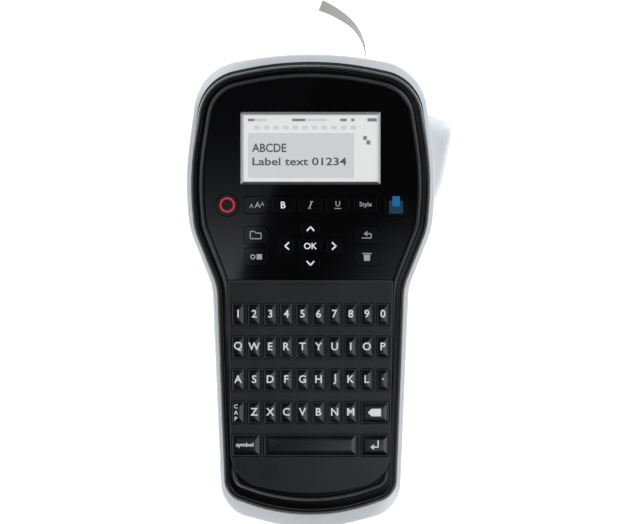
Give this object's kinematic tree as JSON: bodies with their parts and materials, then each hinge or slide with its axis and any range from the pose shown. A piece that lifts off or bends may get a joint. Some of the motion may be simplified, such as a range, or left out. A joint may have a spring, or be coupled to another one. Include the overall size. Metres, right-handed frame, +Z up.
{
  "type": "label maker",
  "caption": "Handheld label maker with a letter keypad, a display, a side lever that cuts the tape, a tape cassette bay under a hinged door, and a battery cover.",
  "frame": {"origin": "on the flat back, on the centre line, on the strip between the finger hollow and the cassette door", "axes": "+Z up from the table on which the back lies, +Y towards the head, +X to the cutter lever's side"},
  "size_m": [0.1138, 0.2272, 0.0534],
  "materials": {
    "black_abs": "glossy moulded",
    "gloss_panel": "high gloss",
    "satin_plate": "satin moulded",
    "display_window": "clear acrylic",
    "lcd_glass": "liquid crystal display",
    "silicone": "moulded silicone",
    "circuit_board": "green solder resist",
    "screw_steel": "zinc plated",
    "socket_steel": "nickel plated",
    "silver_abs": "satin silver",
    "bright_steel": "ground steel",
    "dark_abs": "moulded",
    "battery_wrap": "shrink wrap",
    "contact_brass": "plated",
    "motor_can": "drawn can",
    "head_ceramic": "glazed ceramic",
    "cassette_abs": "moulded",
    "label_tape": "coated tape",
    "ink_ribbon": "film",
    "spring_steel": "drawn wire",
    "platen_rubber": "ground rubber",
    "acetal": "moulded acetal",
    "brass_pinion": "hobbed",
    "blade_steel": "polished",
    "gloss_key": "high gloss",
    "letter_key": "satin gloss"
  },
  "bodies": {
    "case": {"front_housing": "black_abs", "faceplate": "gloss_panel", "keypad_plate": "satin_plate", "display_lens": "display_window", "lcd_module": "lcd_glass", "keypad_membrane": "silicone", "main_board": "circuit_board", "small_screws": "screw_steel", "port_sockets": "socket_steel", "back_housing": "silver_abs", "housing_screws": "screw_steel", "door_hinge_pin": "bright_steel", "battery_tray": "dark_abs", "battery_pack": "battery_wrap", "battery_contacts": "contact_brass", "chassis": "dark_abs", "motor": "motor_can", "print_head": "head_ceramic", "cassette_case": "cassette_abs", "tape_roll": "label_tape", "ribbon_roll": "ink_ribbon", "inner_tape": "label_tape", "label_tape": "label_tape", "cutter_pin": "bright_steel", "cutter_spring": "spring_steel"},
    "door": {"cassette_door": "silver_abs"},
    "cover": {"battery_cover": "silver_abs"},
    "platen": {"platen_roller": "platen_rubber"},
    "reduction": {"reduction_gear": "acetal"},
    "motor_shaft": {"motor_pinion": "brass_pinion"},
    "take_up": {"take_up_gear": "acetal", "ribbon_take_up": "ink_ribbon"},
    "lever": {"cutter_lever": "silver_abs"},
    "carriage": {"blade_carriage": "dark_abs", "cutter_blade": "blade_steel"},
    "power_key": {"power_key": "gloss_key"},
    "text_size_key": {"text_size_key": "gloss_key"},
    "bold_key": {"bold_key": "gloss_key"},
    "italic_key": {"italic_key": "gloss_key"},
    "underline_key": {"underline_key": "gloss_key"},
    "text_style_key": {"text_style_key": "gloss_key"},
    "print_key": {"print_key": "gloss_key"},
    "up_key": {"up_key": "gloss_key"},
    "down_key": {"down_key": "gloss_key"},
    "left_key": {"left_key": "gloss_key"},
    "right_key": {"right_key": "gloss_key"},
    "ok_key": {"ok_key": "gloss_key"},
    "save_key": {"save_key": "gloss_key"},
    "settings_key": {"settings_key": "gloss_key"},
    "back_key": {"back_key": "gloss_key"},
    "clear_key": {"clear_key": "gloss_key"},
    "number_row_keys": {"number_row_keys": "letter_key"},
    "upper_row_keys": {"upper_row_keys": "letter_key"},
    "home_row_keys": {"home_row_keys": "letter_key"},
    "lower_row_keys": {"lower_row_keys": "letter_key"},
    "caps_key": {"caps_key": "letter_key"},
    "backspace_key": {"backspace_key": "letter_key"},
    "symbol_key": {"symbol_key": "letter_key"},
    "space_bar": {"space_bar": "letter_key"},
    "return_key": {"return_key": "letter_key"}
  },
  "joints": [
    {"name": "door_hinge", "type": "hinge", "parent": "case", "child": "door", "pos_m": [0, 0.00761, 0.0032], "axis": [-1, 0, 0], "range_deg": [0, 90]},
    {"name": "cover_lift", "type": "slide", "parent": "case", "child": "cover", "axis": [0, 0, -1], "range_m": [0, 0.025]},
    {"name": "platen_spin", "type": "hinge", "parent": "case", "child": "platen", "pos_m": [0.02785, 0.07285, 0.03074], "axis": [0, -0.1219, 0.9925], "continuous": true},
    {"name": "reduction_spin", "type": "hinge", "parent": "case", "child": "reduction", "pos_m": [0.0153, 0.0769, 0.03123], "axis": [0, -0.1219, 0.9925], "continuous": true},
    {"name": "motor_spin", "type": "hinge", "parent": "case", "child": "motor_shaft", "pos_m": [0.00097, 0.07839, 0.03142], "axis": [0, -0.1219, 0.9925], "continuous": true},
    {"name": "take_up_spin", "type": "hinge", "parent": "case", "child": "take_up", "pos_m": [0.01537, 0.06169, 0.02937], "axis": [0, -0.1219, 0.9925], "continuous": true},
    {"name": "cutter_hinge", "type": "hinge", "parent": "case", "child": "lever", "pos_m": [0.046, 0.04143, 0.0158], "axis": [0, -0.1219, 0.9925], "range_deg": [0, 9], "stiffness_Nm_per_rad": 0.4, "springref_deg": -1.15, "deforming": ["cutter_spring"]},
    {"name": "blade_slide", "type": "slide", "parent": "case", "child": "carriage", "axis": [-1, 0, 0], "range_m": [0, 0.0074]},
    {"name": "power_press", "type": "slide", "parent": "case", "child": "power_key", "axis": [0, 0.1219, -0.9925], "range_m": [0, 0.0008], "stiffness_N_per_m": 400, "springref_m": -0.0006},
    {"name": "text_size_press", "type": "slide", "parent": "case", "child": "text_size_key", "axis": [0, 0.1219, -0.9925], "range_m": [0, 0.0008], "stiffness_N_per_m": 400, "springref_m": -0.0006},
    {"name": "bold_press", "type": "slide", "parent": "case", "child": "bold_key", "axis": [0, 0.1219, -0.9925], "range_m": [0, 0.0008], "stiffness_N_per_m": 400, "springref_m": -0.0006},
    {"name": "italic_press", "type": "slide", "parent": "case", "child": "italic_key", "axis": [0, 0.1219, -0.9925], "range_m": [0, 0.0008], "stiffness_N_per_m": 400, "springref_m": -0.0006},
    {"name": "underline_press", "type": "slide", "parent": "case", "child": "underline_key", "axis": [0, 0.1219, -0.9925], "range_m": [0, 0.0008], "stiffness_N_per_m": 400, "springref_m": -0.0006},
    {"name": "text_style_press", "type": "slide", "parent": "case", "child": "text_style_key", "axis": [0, 0.1219, -0.9925], "range_m": [0, 0.0008], "stiffness_N_per_m": 400, "springref_m": -0.0006},
    {"name": "print_press", "type": "slide", "parent": "case", "child": "print_key", "axis": [0, 0.1219, -0.9925], "range_m": [0, 0.0008], "stiffness_N_per_m": 400, "springref_m": -0.0006},
    {"name": "up_press", "type": "slide", "parent": "case", "child": "up_key", "axis": [0, 0.1219, -0.9925], "range_m": [0, 0.0008], "stiffness_N_per_m": 400, "springref_m": -0.0006},
    {"name": "down_press", "type": "slide", "parent": "case", "child": "down_key", "axis": [0, 0.1219, -0.9925], "range_m": [0, 0.0008], "stiffness_N_per_m": 400, "springref_m": -0.0006},
    {"name": "left_press", "type": "slide", "parent": "case", "child": "left_key", "axis": [0, 0.1219, -0.9925], "range_m": [0, 0.0008], "stiffness_N_per_m": 400, "springref_m": -0.0006},
    {"name": "right_press", "type": "slide", "parent": "case", "child": "right_key", "axis": [0, 0.1219, -0.9925], "range_m": [0, 0.0008], "stiffness_N_per_m": 400, "springref_m": -0.0006},
    {"name": "ok_press", "type": "slide", "parent": "case", "child": "ok_key", "axis": [0, 0.1219, -0.9925], "range_m": [0, 0.0008], "stiffness_N_per_m": 400, "springref_m": -0.0006},
    {"name": "save_press", "type": "slide", "parent": "case", "child": "save_key", "axis": [0, 0.1219, -0.9925], "range_m": [0, 0.0008], "stiffness_N_per_m": 400, "springref_m": -0.0006},
    {"name": "settings_press", "type": "slide", "parent": "case", "child": "settings_key", "axis": [0, 0.1219, -0.9925], "range_m": [0, 0.0008], "stiffness_N_per_m": 400, "springref_m": -0.0006},
    {"name": "back_press", "type": "slide", "parent": "case", "child": "back_key", "axis": [0, 0.1219, -0.9925], "range_m": [0, 0.0008], "stiffness_N_per_m": 400, "springref_m": -0.0006},
    {"name": "clear_press", "type": "slide", "parent": "case", "child": "clear_key", "axis": [0, 0.1219, -0.9925], "range_m": [0, 0.0008], "stiffness_N_per_m": 400, "springref_m": -0.0006},
    {"name": "number_row_press", "type": "slide", "parent": "case", "child": "number_row_keys", "axis": [0, 0.1219, -0.9925], "range_m": [0, 0.001], "stiffness_N_per_m": 500, "springref_m": -0.0006},
    {"name": "upper_row_press", "type": "slide", "parent": "case", "child": "upper_row_keys", "axis": [0, 0.1219, -0.9925], "range_m": [0, 0.001], "stiffness_N_per_m": 500, "springref_m": -0.0006},
    {"name": "home_row_press", "type": "slide", "parent": "case", "child": "home_row_keys", "axis": [0, 0.1219, -0.9925], "range_m": [0, 0.001], "stiffness_N_per_m": 500, "springref_m": -0.0006},
    {"name": "lower_row_press", "type": "slide", "parent": "case", "child": "lower_row_keys", "axis": [0, 0.1219, -0.9925], "range_m": [0, 0.001], "stiffness_N_per_m": 500, "springref_m": -0.0006},
    {"name": "caps_press", "type": "slide", "parent": "case", "child": "caps_key", "axis": [0, 0.1219, -0.9925], "range_m": [0, 0.001], "stiffness_N_per_m": 500, "springref_m": -0.0006},
    {"name": "backspace_press", "type": "slide", "parent": "case", "child": "backspace_key", "axis": [0, 0.1219, -0.9925], "range_m": [0, 0.001], "stiffness_N_per_m": 500, "springref_m": -0.0006},
    {"name": "symbol_press", "type": "slide", "parent": "case", "child": "symbol_key", "axis": [0, 0.1219, -0.9925], "range_m": [0, 0.001], "stiffness_N_per_m": 500, "springref_m": -0.0006},
    {"name": "space_bar_press", "type": "slide", "parent": "case", "child": "space_bar", "axis": [0, 0.1219, -0.9925], "range_m": [0, 0.001], "stiffness_N_per_m": 500, "springref_m": -0.0006},
    {"name": "return_press", "type": "slide", "parent": "case", "child": "return_key", "axis": [0, 0.1219, -0.9925], "range_m": [0, 0.001], "stiffness_N_per_m": 500, "springref_m": -0.0006}
  ],
  "couplings": [
    {"joint": "reduction_spin", "follows": "platen_spin", "ratio": -2.6667},
    {"joint": "motor_spin", "follows": "platen_spin", "ratio": 8},
    {"joint": "take_up_spin", "follows": "platen_spin", "ratio": -1.3333},
    {"joint": "blade_slide", "follows": "cutter_hinge", "m_per_rad": 0.04711}
  ]
}
